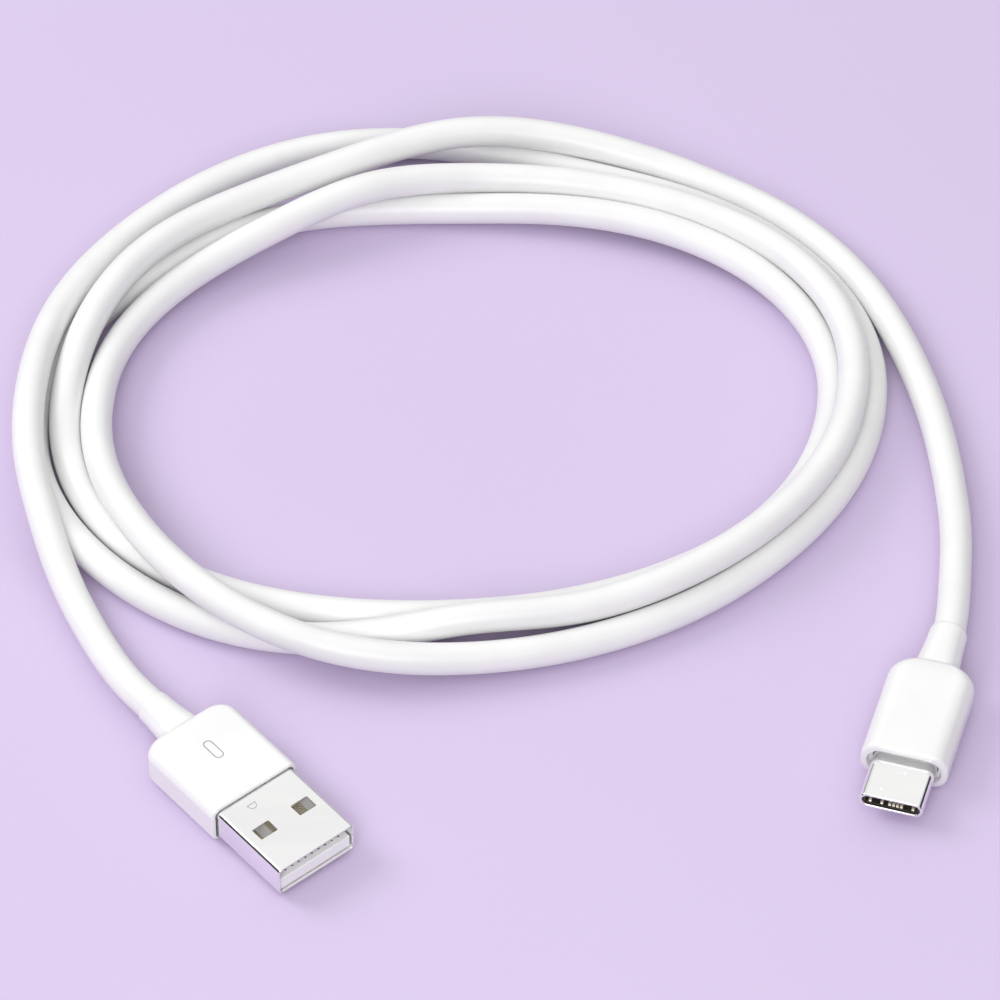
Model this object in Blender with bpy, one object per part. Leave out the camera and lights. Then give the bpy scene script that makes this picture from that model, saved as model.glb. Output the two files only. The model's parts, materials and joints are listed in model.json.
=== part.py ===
"""Charging cable: a USB-A plug, a round jacketed cord wound into an oval coil, and a USB-C plug.

Units are metres, +Z is up and the plugs and the cord lie on the plane z = 0.
Each plug is built in its own frame, whose +X points the way it is pushed into a socket and whose
origin is on the plug's axis, at the front face of its housing.
"""

import math

import bmesh
import bpy
import numpy as np

MM = 0.001

# ---- driving dimensions (millimetres, degrees) ----
CORD_DIAMETER = 4.2
TOUCH_GAP = 0.3

USB_A_PLACE = (-37.7, -7.8)
USB_A_HEADING = -49.9
USB_A_AXIS_HEIGHT = 2.8
USB_C_PLACE = (43.3, -2.2)
USB_C_HEADING = -106.8
USB_C_AXIS_HEIGHT = 2.9

# Along a plug, a pair is (back, front). Across it, a triple is (width, height, corner radius).
# USB-A plug
A_SHELL = (12.0, 4.5, 0.6)
A_SHELL_BORE = (11.4, 3.9, 0.35)
A_SHELL_RUN = (-3.6, 12.3)
A_WINDOW = (2.0, 2.6)
A_WINDOW_FROM_FRONT = 6.4
A_WINDOW_OFFSET = 3.05
A_CONTACT_OFFSETS = {"vbus": 3.5, "d_minus": 1.0, "d_plus": -1.0, "gnd": -3.5}
A_CONTACT_FRONTS = {"vbus": 11.0, "d_minus": 10.0, "d_plus": 10.0, "gnd": 11.0}
A_CONTACT_BACK = -7.4
A_CONTACT_WIDTH = 1.0
A_CONTACT_LEVELS = (0.06, 0.30)
A_INSULATOR_RUN = (-3.2, 11.9)
A_INSULATOR_SIDES = (-5.55, 5.55)
A_INSULATOR_LEVELS = (-1.83, 0.0)
A_CAP_RUN = (-3.2, 2.0)
A_CAP_LEVELS = (0.36, 1.83)
A_MOULD = (12.0, 4.5, 0.7)
A_MOULD_BORE = (10.4, 3.1, 0.4)
A_MOULD_RUN = (-12.1, -3.9)
A_CAN = (10.2, 2.9, 0.4)
A_CAN_BORE = (9.6, 2.3, 0.2)
A_CAN_RUN = (-11.6, -4.1)
A_HOUSING = (13.5, 5.6, 1.3)
A_HOUSING_BORE = (12.24, 4.74, 0.8)
A_HOUSING_LENGTH = 14.4
A_REAR_ROUNDING = (2.2, 2.2, 0.5)
A_FRONT_ROUNDING = (0.3, 0.2, 0.15)
A_REAR_WALL = 1.1
A_BOOT_LENGTH = 6.5
A_BOOT_FLANGE = (7.6, 4.2, 1.0)
A_BOOT_BASE = (6.0, 4.6, 3.0)
A_BOOT_SHOULDER = (4.6, 4.5, 3.0)
A_WIRE_STOPS = (-12.4, -9.2, -7.7)

# USB-C plug
C_SHELL = (8.25, 2.4, 1.2)
C_SHELL_BORE = (7.85, 2.0, 1.0)
C_SHELL_RUN = (-3.4, 6.65)
C_CARRIER = (7.55, 1.72, 0.86)
C_CARRIER_BORE = (6.7, 1.06, 0.2)
C_CARRIER_RUN = (-3.0, 6.3)
C_CONTACT_PITCH = 0.5
C_CONTACT_WIDTH = 0.25
C_CONTACT_RUN = (-4.6, 6.1)
C_CONTACT_LEVELS = (0.34, 0.46)
C_CONTACT_PLACES = 12
C_ROW_A = (1, 4, 5, 6, 7, 9, 12)
C_ROW_B = (1, 4, 9, 12)
C_PLATE_RUN = (-2.9, -0.2)
C_PLATE_SIDES = (-2.4, 2.4)
C_PLATE_LEVELS = (-0.08, 0.08)
C_BOARD_RUN = (-10.5, -3.7)
C_BOARD_SIDES = (-3.2, 3.2)
C_BOARD_LEVELS = (-0.3, 0.3)
C_RESISTOR_RUN = (-7.6, -6.6)
C_RESISTOR_SIDES = (0.9, 1.4)
C_RESISTOR_LEVELS = (0.34, 0.69)
C_LATCH_PIVOT = -2.6
C_LATCH_OFFSET = 3.03
C_LATCH_LEVELS = (-0.26, 0.26)
C_MOULD = (9.4, 3.9, 1.5)
C_MOULD_BORE = (8.8, 3.2, 1.1)
C_MOULD_RUN = (-14.0, -2.2)
C_CAN = (8.5, 2.9, 1.0)
C_CAN_BORE = (8.1, 2.5, 0.8)
C_CAN_RUN = (-12.6, -3.9)
C_HOUSING = (11.3, 5.8, 2.4)
C_HOUSING_BORE = (9.7, 4.2, 1.6)
C_HOUSING_LENGTH = 16.5
C_REAR_ROUNDING = (2.8, 2.6, 0.6)
C_FRONT_ROUNDING = (0.5, 0.4, 0.4)
C_REAR_WALL = 1.2
C_RECESS = (9.6, 4.0, 1.95)
C_RECESS_DEPTH = 1.0
C_WEB_BORE = (8.5, 2.65, 1.32)
C_WEB_THICKNESS = 0.9
C_BOOT_LENGTH = 7.2
C_BOOT_FLANGE = (7.2, 3.8, 1.5)
C_BOOT_BASE = (6.0, 4.6, 3.0)
C_BOOT_SHOULDER = (4.9, 4.6, 3.0)
C_WIRE_STOPS = (-14.4, -11.9, -10.8)
C_WIRE_PADS = ((2.2, 0.0), (0.8, 0.0), (-0.8, 0.0), (-2.2, 0.0))

# Both plugs
BOOT_NECK = (4.0, 4.0, 2.0)
BOOT_BORE = (2.7, 2.7, 1.35)
WALL_HOLE = (4.2, 4.2, 2.1)
BOOT_BEHIND_WALL = 0.12
BOOT_FLANGE_GAP = 0.15
BOOT_FLANGE_THICKNESS = 0.9
BOOT_SHOULDER_LENGTH = 0.6
WIRE_DIAMETER = 0.8
WIRE_CORNERS = {"red": (0.5, 0.5), "white": (0.5, -0.5), "green": (-0.5, -0.5), "black": (-0.5, 0.5)}

# Cord: the oval that the innermost turn follows, and where the turns lie on it.
COIL_CENTRE = (-11.7, 61.9)
COIL_HALF_WIDTH = 49.0
COIL_HALF_DEPTH = 38.0
COIL_SQUARENESS = 2.1
COIL_LEAN = 1.2
TURN_START = -30
TURN_STEP = 20
# One pair for every TURN_STEP degrees, clockwise from the left: how many diameters the turn lies
# outside the innermost one, and how many diameters above the table.
TURN_LAY = (
    # coming in from the USB-A plug over the last turn, then outermost, then under the others
    (2.95, 0.60), (2.15, 1.05), (2.00, 0.90), (2.55, 0.40), (3.15, 0.30), (3.45, 0.12),
    (2.78, 0.00), (1.76, 0.00), (1.50, 0.00), (1.40, 0.00), (1.25, 0.00), (0.95, 0.00),
    (0.90, 0.00), (1.25, 0.00), (1.60, 0.05), (1.90, 0.25), (2.10, 0.70), (1.55, 1.05),
    # second turn, innermost on the left, then riding on its neighbours
    (0.60, 1.00), (0.00, 0.55), (-0.10, 0.25), (-0.10, 0.25), (-0.10, 0.70), (0.30, 1.05),
    (0.70, 0.65), (0.70, 0.55), (0.70, 0.60), (0.75, 0.75), (0.65, 0.85), (0.40, 0.85),
    (0.35, 0.85), (0.55, 0.75), (0.70, 0.65), (0.70, 0.70), (1.15, 0.15), (1.75, 0.00),
    # third turn, on the table and innermost
    (1.95, 0.00), (2.00, 0.00), (1.60, 0.00), (1.05, 0.00), (0.90, 0.00), (0.35, 0.00),
    (-0.10, 0.05), (-0.30, 0.25), (-0.30, 0.35), (-0.10, 0.20), (0.00, 0.00), (-0.20, 0.00),
    (-0.20, 0.00), (-0.15, 0.00), (-0.10, 0.00), (-0.10, 0.00), (0.00, 0.00), (0.40, 0.05),
    # last half turn, over the first one and out to the USB-C plug
    (0.80, 0.00), (0.95, 0.20), (0.90, 0.75), (1.15, 1.02), (1.36, 0.90), (1.72, 1.03),
    (2.40, 1.12), (2.56, 0.62), (2.60, 0.03), (2.45, 0.00),
)
# The two free ends, from each boot towards the coil: x, y and the height of the cord's centre.
USB_A_TAIL = (
    (-53.0, 10.3, 2.8), (-56.9, 16.3, 2.5), (-60.4, 23.3, 2.4), (-63.4, 30.3, 2.9),
)
USB_C_TAIL = (
    (50.7, 23.5, 2.8), (51.4, 29.7, 2.4), (52.0, 38.7, 2.2), (51.6, 48.7, 2.1),
    (50.2, 59.7, 2.1), (47.5, 70.7, 2.2), (43.9, 80.2, 2.5),
)
TURNS_READ = (-20, 1225, 5)
RING_TURNS = (-30, 1241)
RING_STEP = 5
RING_SHOULDER_STEP = 0.05
RING_EDGE = 1.2
TAIL_GAP = 1.2
TAIL_SPACING = 9.0

# ---- colours: base colour, roughness, metallic ----
FINISHES = {
    "white_gloss_plastic": ((0.88, 0.88, 0.89), 0.22, 0.0),
    "white_jacket": ((0.87, 0.87, 0.88), 0.38, 0.0),
    "natural_moulding": ((0.80, 0.78, 0.72), 0.50, 0.0),
    "polished_steel": ((0.72, 0.72, 0.73), 0.12, 1.0),
    "tinned_steel": ((0.62, 0.62, 0.63), 0.35, 1.0),
    "gold_contact": ((0.85, 0.66, 0.30), 0.20, 1.0),
    "white_insulator": ((0.84, 0.84, 0.83), 0.40, 0.0),
    "black_insulator": ((0.03, 0.03, 0.035), 0.45, 0.0),
    "green_board": ((0.03, 0.16, 0.08), 0.45, 0.0),
    "resistor_body": ((0.05, 0.05, 0.06), 0.40, 0.0),
    "wire_red": ((0.60, 0.03, 0.03), 0.45, 0.0),
    "wire_white": ((0.82, 0.82, 0.80), 0.45, 0.0),
    "wire_green": ((0.04, 0.35, 0.10), 0.45, 0.0),
    "wire_black": ((0.02, 0.02, 0.02), 0.45, 0.0),
}


def clear_scene():
    for obj in list(bpy.data.objects):
        bpy.data.objects.remove(obj, do_unlink=True)


def finish_material(name):
    """The named finish as a Principled material, made once."""
    if name in bpy.data.materials:
        return bpy.data.materials[name]
    color, roughness, metallic = FINISHES[name]
    material = bpy.data.materials.new(name)
    material.use_nodes = True
    shader = material.node_tree.nodes["Principled BSDF"]
    shader.inputs["Base Color"].default_value = (*color, 1.0)
    shader.inputs["Roughness"].default_value = roughness
    shader.inputs["Metallic"].default_value = metallic
    material.diffuse_color = (*color, 1.0)
    return material


def plug_frame(name, place, axis_height, heading):
    """An empty on the plug's axis, at the front of its housing, with +X along the insertion."""
    empty = bpy.data.objects.new(name, None)
    bpy.context.collection.objects.link(empty)
    empty.location = (place[0] * MM, place[1] * MM, axis_height * MM)
    empty.rotation_euler = (0.0, 0.0, math.radians(heading))
    return empty


def mesh_object(name, points, faces, finish, parent=None, smooth=True):
    """A closed mesh object from points in millimetres, with its faces turned outwards."""
    mesh = bpy.data.meshes.new(name)
    mesh.from_pydata([tuple(c * MM for c in p) for p in points], [], faces)
    edit = bmesh.new()
    edit.from_mesh(mesh)
    bmesh.ops.recalc_face_normals(edit, faces=edit.faces)
    edit.to_mesh(mesh)
    edit.free()
    if smooth:
        mesh.shade_smooth()
        mesh.set_sharp_from_angle(angle=math.radians(35))
    mesh.materials.append(finish_material(finish))
    obj = bpy.data.objects.new(name, mesh)
    bpy.context.collection.objects.link(obj)
    obj.parent = parent
    return obj


def section(width, height, radius, corner_steps=5, centre=(0.0, 0.0)):
    """The corners of a rounded rectangle across the plug, as (y, z) pairs."""
    radius = min(radius, width / 2 - 1e-4, height / 2 - 1e-4)
    points = []
    for quarter in range(4):
        side_y = 1 if quarter in (0, 3) else -1
        side_z = 1 if quarter in (0, 1) else -1
        corner_y = side_y * (width / 2 - radius)
        corner_z = side_z * (height / 2 - radius)
        for step in range(corner_steps + 1):
            angle = math.radians(90 * quarter + 90 * step / corner_steps)
            y = corner_y + radius * math.cos(angle) + centre[0]
            z = corner_z + radius * math.sin(angle) + centre[1]
            points.append((y, z))
    return points


def skin(name, loops, finish, parent, ring):
    """A solid through loops of points, closed by joining the last loop to the first or by caps."""
    count = len(loops[0])
    points = [point for loop in loops for point in loop]
    faces = []
    for i in range(len(loops) if ring else len(loops) - 1):
        a = i * count
        b = (i + 1) % len(loops) * count
        for k in range(count):
            n = (k + 1) % count
            faces.append((a + k, a + n, b + n, b + k))
    if not ring:
        faces.append(tuple(range(count)))
        faces.append(tuple(range((len(loops) - 1) * count, len(loops) * count)))
    return mesh_object(name, points, faces, finish, parent)


def loft(name, stations, finish, parent, ring=False):
    """A solid through cross sections of a plug, each an (x, outline) pair."""
    loops = [[(x, y, z) for y, z in outline] for x, outline in stations]
    return skin(name, loops, finish, parent, ring)


def box(name, x, y, z, finish, parent):
    """A plain block between the (low, high) pairs x, y and z."""
    outline = [(y[1], z[1]), (y[0], z[1]), (y[0], z[0]), (y[1], z[0])]
    return loft(name, [(x[0], outline), (x[1], outline)], finish, parent)


def sleeve(name, x, outer, inner, finish, parent):
    """A straight tube between the pair x; outer and inner are (width, height, corner radius)."""
    stations = [
        (x[0], section(*outer)),
        (x[1], section(*outer)),
        (x[1], section(*inner)),
        (x[0], section(*inner)),
    ]
    return loft(name, stations, finish, parent, ring=True)


def rounded_end(size, at, towards, rounding, steps):
    """Stations of a skin that rounds over to its end face at x = at, from the full size.

    rounding is how far back it starts and how much narrower and lower the end face is on each side.
    """
    reach, side_inset, top_inset = rounding
    width, height, radius = size
    stations = []
    for step in range(steps + 1):
        angle = math.radians(90 * step / steps)
        x = at - towards * reach * (1 - math.sin(angle))
        drop = 1 - math.cos(angle)
        outline = section(width - 2 * side_inset * drop, height - 2 * top_inset * drop, radius)
        stations.append((x, outline))
    return stations


def cut_through(target, name, x, y, z):
    """Cuts a straight block out of the target."""
    cutter = box(name, x, y, z, "tinned_steel", target.parent)
    cutter.hide_render = True
    cutter.display_type = "WIRE"
    modifier = target.modifiers.new(name, "BOOLEAN")
    modifier.operation = "DIFFERENCE"
    modifier.solver = "EXACT"
    modifier.object = cutter


def natural_spline(knots, values, wanted):
    """The natural cubic spline through values (rows) at knots, read at the wanted places."""
    knots = np.asarray(knots, float)
    values = np.asarray(values, float)
    gap = np.diff(knots)
    slope = np.diff(values, axis=0) / gap[:, None]
    system = np.eye(len(knots))
    right = np.zeros_like(values)
    for i in range(1, len(knots) - 1):
        system[i, i - 1 : i + 2] = gap[i - 1], 2 * (gap[i - 1] + gap[i]), gap[i]
        right[i] = 6 * (slope[i] - slope[i - 1])
    bend = np.linalg.solve(system, right)
    cell = np.clip(np.searchsorted(knots, wanted, side="right") - 1, 0, len(gap) - 1)
    h = gap[cell][:, None]
    a = (knots[cell + 1] - wanted)[:, None] / h
    b = 1 - a
    curve = a * values[cell] + b * values[cell + 1]
    return curve + ((a**3 - a) * bend[cell] + (b**3 - b) * bend[cell + 1]) * h**2 / 6


def distances(route):
    """How far along a route each of its points is."""
    steps = np.linalg.norm(np.diff(route, axis=0), axis=1)
    return np.concatenate([[0], np.cumsum(steps)])


def smooth_run(route, spacing):
    """Points at about the spacing along the smooth curve through a route."""
    route = np.asarray(route, float)
    along = distances(route)
    count = max(3, round(along[-1] / spacing) + 1)
    return natural_spline(along, route, np.linspace(0, along[-1], count))


def tube(name, points, diameter, finish, resolution=2):
    """A round tube along points in millimetres, as a curve with a bevel and filled caps."""
    data = bpy.data.curves.new(name, "CURVE")
    data.dimensions = "3D"
    data.bevel_depth = diameter / 2 * MM
    data.bevel_resolution = resolution
    data.use_fill_caps = True
    spline = data.splines.new("POLY")
    spline.points.add(len(points) - 1)
    for place, point in zip(spline.points, points):
        place.co = (*(float(c) * MM for c in point), 1.0)
    data.materials.append(finish_material(finish))
    obj = bpy.data.objects.new(name, data)
    bpy.context.collection.objects.link(obj)
    return obj


# ---- pieces that both plugs have ----
def boot(name, wall, tip, flange, base, shoulder, parent):
    """A strain relief: a flange inside the housing, a neck through its rear wall, then a taper.

    wall is the (back, front) pair of the rear wall and tip is where the cord goes in.
    """
    neck = section(*BOOT_NECK)
    bore = section(*BOOT_BORE)
    behind = wall[0] - BOOT_BEHIND_WALL
    flange_back = wall[1] + BOOT_FLANGE_GAP
    flange_front = flange_back + BOOT_FLANGE_THICKNESS
    shoulder_front = tip + BOOT_SHOULDER_LENGTH
    stations = [
        (flange_front, section(*flange)),
        (flange_back, section(*flange)),
        (flange_back, neck),
        (behind, neck),
        (behind, section(*base)),
    ]
    for share in (0.2, 0.5, 0.8):
        size = [a + (b - a) * share for a, b in zip(base, shoulder)]
        stations.append((behind + (shoulder_front - behind) * share, section(*size)))
    stations.append((shoulder_front, section(*shoulder)))
    width, height, radius = shoulder
    for share, inset in ((1 / 3, 0.1), (0, 0.4)):
        edge = section(width - inset, height - inset, radius)
        stations.append((tip + BOOT_SHOULDER_LENGTH * share, edge))
    stations += [(tip, bore), (flange_front, bore)]
    return loft(name, stations, "white_gloss_plastic", parent, ring=True)


def wires(plug, parent, start, stops, pads):
    """Four insulated conductors, bundled through the boot and then spread to their pads.

    stops says where the bundle ends, where the wires are spread, and where they end.
    """
    bundle_end, spread, end = stops
    for (colour, corner), pad in zip(WIRE_CORNERS.items(), pads):
        route = [(start, *corner)] + [(bundle_end - back, *corner) for back in (3.0, 2.0, 1.0, 0.0)]
        route += [(spread, *pad), (spread + 0.6, *pad), (end, *pad)]
        run = smooth_run(route, 1.0)
        obj = tube(f"{plug}_wire_{colour}", run, WIRE_DIAMETER, f"wire_{colour}")
        obj.parent = parent


# ---- USB-A plug ----
def usb_a_shell(frame):
    shell = sleeve("usb_a_shell", A_SHELL_RUN, A_SHELL, A_SHELL_BORE, "polished_steel", frame)
    centre = A_SHELL_RUN[1] - A_WINDOW_FROM_FRONT
    x = (centre - A_WINDOW[0] / 2, centre + A_WINDOW[0] / 2)
    through = (-A_SHELL[1], A_SHELL[1])
    for side, offset in (("left", -A_WINDOW_OFFSET), ("right", A_WINDOW_OFFSET)):
        y = (offset - A_WINDOW[1] / 2, offset + A_WINDOW[1] / 2)
        cut_through(shell, f"window_{side}", x, y, through)


def usb_a_core(frame):
    """The insulator, its rear cap and the four contacts between them."""
    white = "white_insulator"
    box("usb_a_insulator", A_INSULATOR_RUN, A_INSULATOR_SIDES, A_INSULATOR_LEVELS, white, frame)
    box("usb_a_insulator_cap", A_CAP_RUN, A_INSULATOR_SIDES, A_CAP_LEVELS, white, frame)
    for pin, offset in A_CONTACT_OFFSETS.items():
        x = (A_CONTACT_BACK, A_CONTACT_FRONTS[pin])
        y = (offset - A_CONTACT_WIDTH / 2, offset + A_CONTACT_WIDTH / 2)
        box(f"usb_a_contact_{pin}", x, y, A_CONTACT_LEVELS, "gold_contact", frame)


def usb_a_housing(frame):
    cavity = section(*A_HOUSING_BORE)
    hole = section(*WALL_HOLE)
    back = -A_HOUSING_LENGTH
    wall_front = back + A_REAR_WALL
    stations = rounded_end(A_HOUSING, back, -1, A_REAR_ROUNDING, steps=6)[::-1]
    stations += rounded_end(A_HOUSING, 0.0, 1, A_FRONT_ROUNDING, steps=3)
    stations += [(0.0, cavity), (wall_front, cavity), (wall_front, hole), (back, hole)]
    loft("usb_a_housing", stations, "white_gloss_plastic", frame, ring=True)


def usb_a_plug():
    frame = plug_frame("usb_a_frame", USB_A_PLACE, USB_A_AXIS_HEIGHT, USB_A_HEADING)
    back = -A_HOUSING_LENGTH
    wall = (back, back + A_REAR_WALL)
    tip = back - A_BOOT_LENGTH
    usb_a_housing(frame)
    usb_a_shell(frame)
    usb_a_core(frame)
    natural = "natural_moulding"
    sleeve("usb_a_inner_mould", A_MOULD_RUN, A_MOULD, A_MOULD_BORE, natural, frame)
    sleeve("usb_a_rear_can", A_CAN_RUN, A_CAN, A_CAN_BORE, "tinned_steel", frame)
    boot("usb_a_strain_relief", wall, tip, A_BOOT_FLANGE, A_BOOT_BASE, A_BOOT_SHOULDER, frame)
    contact_middle = sum(A_CONTACT_LEVELS) / 2
    pads = [(offset, contact_middle) for offset in A_CONTACT_OFFSETS.values()]
    wires("usb_a", frame, tip + 0.1, A_WIRE_STOPS, pads)


# ---- USB-C plug ----
def usb_c_core(frame):
    """The carrier, its contact rows, the mid plate, the circuit board and its resistor."""
    black = "black_insulator"
    sleeve("usb_c_contact_carrier", C_CARRIER_RUN, C_CARRIER, C_CARRIER_BORE, black, frame)
    low, high = C_CONTACT_LEVELS
    rows = (("a", -1, (-high, -low), C_ROW_A), ("b", 1, (low, high), C_ROW_B))
    for row, side, levels, numbers in rows:
        for number in numbers:
            offset = side * (number - (C_CONTACT_PLACES + 1) / 2) * C_CONTACT_PITCH
            y = (offset - C_CONTACT_WIDTH / 2, offset + C_CONTACT_WIDTH / 2)
            box(f"usb_c_contact_{row}{number}", C_CONTACT_RUN, y, levels, "gold_contact", frame)
    steel = "tinned_steel"
    box("usb_c_mid_plate", C_PLATE_RUN, C_PLATE_SIDES, C_PLATE_LEVELS, steel, frame)
    box("usb_c_circuit_board", C_BOARD_RUN, C_BOARD_SIDES, C_BOARD_LEVELS, "green_board", frame)
    resistor = "usb_c_pull_up_resistor"
    box(resistor, C_RESISTOR_RUN, C_RESISTOR_SIDES, C_RESISTOR_LEVELS, "resistor_body", frame)


def usb_c_latch(side, sign, frame):
    """A sprung side latch, hinged at its root, with a hook that faces the tongue."""
    pivot = bpy.data.objects.new(f"usb_c_latch_{side}_pivot", None)
    bpy.context.collection.objects.link(pivot)
    pivot.parent = frame
    pivot.location = (C_LATCH_PIVOT * MM, sign * C_LATCH_OFFSET * MM, 0.0)
    blade = [(7.8, 0.1), (-0.15, 0.1), (-0.15, -0.1)]
    hook = [(6.7, -0.1), (7.05, -0.33), (7.45, -0.33), (7.8, -0.1)]
    loops = [[(x, sign * y, z) for x, y in blade + hook] for z in C_LATCH_LEVELS]
    skin(f"usb_c_latch_{side}", loops, "tinned_steel", pivot, ring=False)


def usb_c_housing(frame):
    cavity = section(*C_HOUSING_BORE)
    web = section(*C_WEB_BORE)
    recess = section(*C_RECESS)
    hole = section(*WALL_HOLE)
    back = -C_HOUSING_LENGTH
    wall_front = back + C_REAR_WALL
    web_front = -C_RECESS_DEPTH
    web_back = web_front - C_WEB_THICKNESS
    stations = rounded_end(C_HOUSING, back, -1, C_REAR_ROUNDING, steps=6)[::-1]
    stations += rounded_end(C_HOUSING, 0.0, 1, C_FRONT_ROUNDING, steps=3)
    stations += [(0.0, recess), (web_front, recess), (web_front, web), (web_back, web)]
    stations += [(web_back, cavity), (wall_front, cavity), (wall_front, hole), (back, hole)]
    loft("usb_c_housing", stations, "white_gloss_plastic", frame, ring=True)


def usb_c_plug():
    frame = plug_frame("usb_c_frame", USB_C_PLACE, USB_C_AXIS_HEIGHT, USB_C_HEADING)
    back = -C_HOUSING_LENGTH
    wall = (back, back + C_REAR_WALL)
    tip = back - C_BOOT_LENGTH
    usb_c_housing(frame)
    sleeve("usb_c_shell", C_SHELL_RUN, C_SHELL, C_SHELL_BORE, "polished_steel", frame)
    usb_c_core(frame)
    usb_c_latch("left", 1, frame)
    usb_c_latch("right", -1, frame)
    natural = "natural_moulding"
    sleeve("usb_c_inner_mould", C_MOULD_RUN, C_MOULD, C_MOULD_BORE, natural, frame)
    sleeve("usb_c_rear_can", C_CAN_RUN, C_CAN, C_CAN_BORE, "tinned_steel", frame)
    boot("usb_c_strain_relief", wall, tip, C_BOOT_FLANGE, C_BOOT_BASE, C_BOOT_SHOULDER, frame)
    wires("usb_c", frame, tip + 0.1, C_WIRE_STOPS, C_WIRE_PADS)


# ---- cord ----
def oval_radius(direction):
    """The distance from the coil's centre to its innermost turn, in a direction in radians."""
    across = (np.abs(np.cos(direction)) / COIL_HALF_WIDTH) ** COIL_SQUARENESS
    away = (np.abs(np.sin(direction)) / COIL_HALF_DEPTH) ** COIL_SQUARENESS
    return (across + away) ** (-1 / COIL_SQUARENESS) + COIL_LEAN * np.sin(2 * direction)


def turn_places(turns):
    """Centre points of the cord at the given turn angles in degrees."""
    knots = TURN_START + TURN_STEP * np.arange(len(TURN_LAY))
    lay = natural_spline(knots, TURN_LAY, turns)
    direction = np.radians(180 - turns)
    reach = oval_radius(direction) + lay[:, 0] * CORD_DIAMETER
    x = COIL_CENTRE[0] + reach * np.cos(direction)
    y = COIL_CENTRE[1] + reach * np.sin(direction)
    z = CORD_DIAMETER / 2 + np.maximum(lay[:, 1], 0) * CORD_DIAMETER
    return np.stack([x, y, z], axis=1)


def boot_mouth(place, height, heading, length):
    """Where the cord's end face is, just behind a plug's strain relief."""
    direction = math.radians(heading)
    back = length + TOUCH_GAP
    return (place[0] - back * math.cos(direction), place[1] - back * math.sin(direction), height)


def cord_route():
    """The route's own points, from the USB-A boot round the coil to the USB-C boot."""
    first, last, step = TURNS_READ
    a_length = A_HOUSING_LENGTH + A_BOOT_LENGTH
    c_length = C_HOUSING_LENGTH + C_BOOT_LENGTH
    start = boot_mouth(USB_A_PLACE, USB_A_AXIS_HEIGHT, USB_A_HEADING, a_length)
    end = boot_mouth(USB_C_PLACE, USB_C_AXIS_HEIGHT, USB_C_HEADING, c_length)
    coil = turn_places(np.arange(first, last + step / 2, step))
    return np.vstack([start, USB_A_TAIL, coil, USB_C_TAIL[::-1], end])


def turns_of(points):
    """The unwound turn angle of each point of the whole cord, in degrees."""
    away = points[:, :2] - np.array(COIL_CENTRE)
    direction = np.unwrap(np.arctan2(away[:, 1], away[:, 0]))
    turns = 180 - np.degrees(direction)
    return turns - 360 * round((turns[0] + 60) / 360)


def ring_section(turn, line_turns, line_reach, line_height):
    """The outline round the cord's passes at one turn angle, as (reach, height) corners."""
    radius = CORD_DIAMETER / 2
    passes = [turn + 360 * k for k in range(-1, 5)]
    passes = [p for p in passes if RING_TURNS[0] <= p <= RING_TURNS[1]]
    reach = np.interp(passes, line_turns, line_reach)
    top = np.interp(passes, line_turns, line_height).max() + radius
    inner = reach.min() - radius
    outer = reach.max() + radius
    bevel_foot = 0.6 * top
    base = [(inner, 0), (outer, 0)]
    crown = [(outer, bevel_foot), (outer - RING_EDGE, top), (inner + RING_EDGE, top)]
    return base + crown + [(inner, bevel_foot)]


def ring_angles():
    """The turn angles at which the ring has an outline, with a step where an end leaves it."""
    first, last = RING_TURNS[0] % 360, RING_TURNS[1] % 360
    steps = {first, last, first - RING_SHOULDER_STEP, last + RING_SHOULDER_STEP}
    return sorted(steps | set(range(0, 360, RING_STEP)))


def cord():
    """The two free ends as tubes and, between them, one solid round all the turns."""
    line = smooth_run(cord_route(), 1.0)
    line[:, 2] = np.maximum(line[:, 2], CORD_DIAMETER / 2)
    turns = turns_of(line)
    reach = np.linalg.norm(line[:, :2] - np.array(COIL_CENTRE), axis=1)
    loops = []
    for turn in ring_angles():
        direction = math.radians(180 - turn)
        along_x, along_y = math.cos(direction), math.sin(direction)
        loop = []
        for out, height in ring_section(turn, turns, reach, line[:, 2]):
            loop.append((COIL_CENTRE[0] + out * along_x, COIL_CENTRE[1] + out * along_y, height))
        loops.append(loop)
    skin("cord_coil", loops, "white_jacket", None, ring=True)
    along = distances(line)
    coil_start = along[np.argmax(turns >= RING_TURNS[0])] - TAIL_GAP
    coil_end = along[np.argmax(turns >= RING_TURNS[1])] + TAIL_GAP
    ends = (("cord_end_usb_a", 0.0, coil_start), ("cord_end_usb_c", coil_end, along[-1]))
    for name, low, high in ends:
        count = round((high - low) / TAIL_SPACING) + 1
        run = natural_spline(along, line, np.linspace(low, high, count))
        tube(name, run, CORD_DIAMETER, "white_jacket", resolution=3)


clear_scene()
usb_a_plug()
usb_c_plug()
cord()
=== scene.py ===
"""Looks of the charging cable: its cord, fine plug pieces, materials, floor, light and camera.

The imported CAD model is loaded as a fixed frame. The cord's route is in metres, in the frame's
coordinates. The plug pieces are drawn in millimetres in a frame of their own: +X points the way
the plug is pushed in, +Z up, and the origin is on its axis at the front of its housing.
"""

import json
import math

import bmesh
import bpy
import numpy as np
from mathutils import Matrix, Vector


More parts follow.
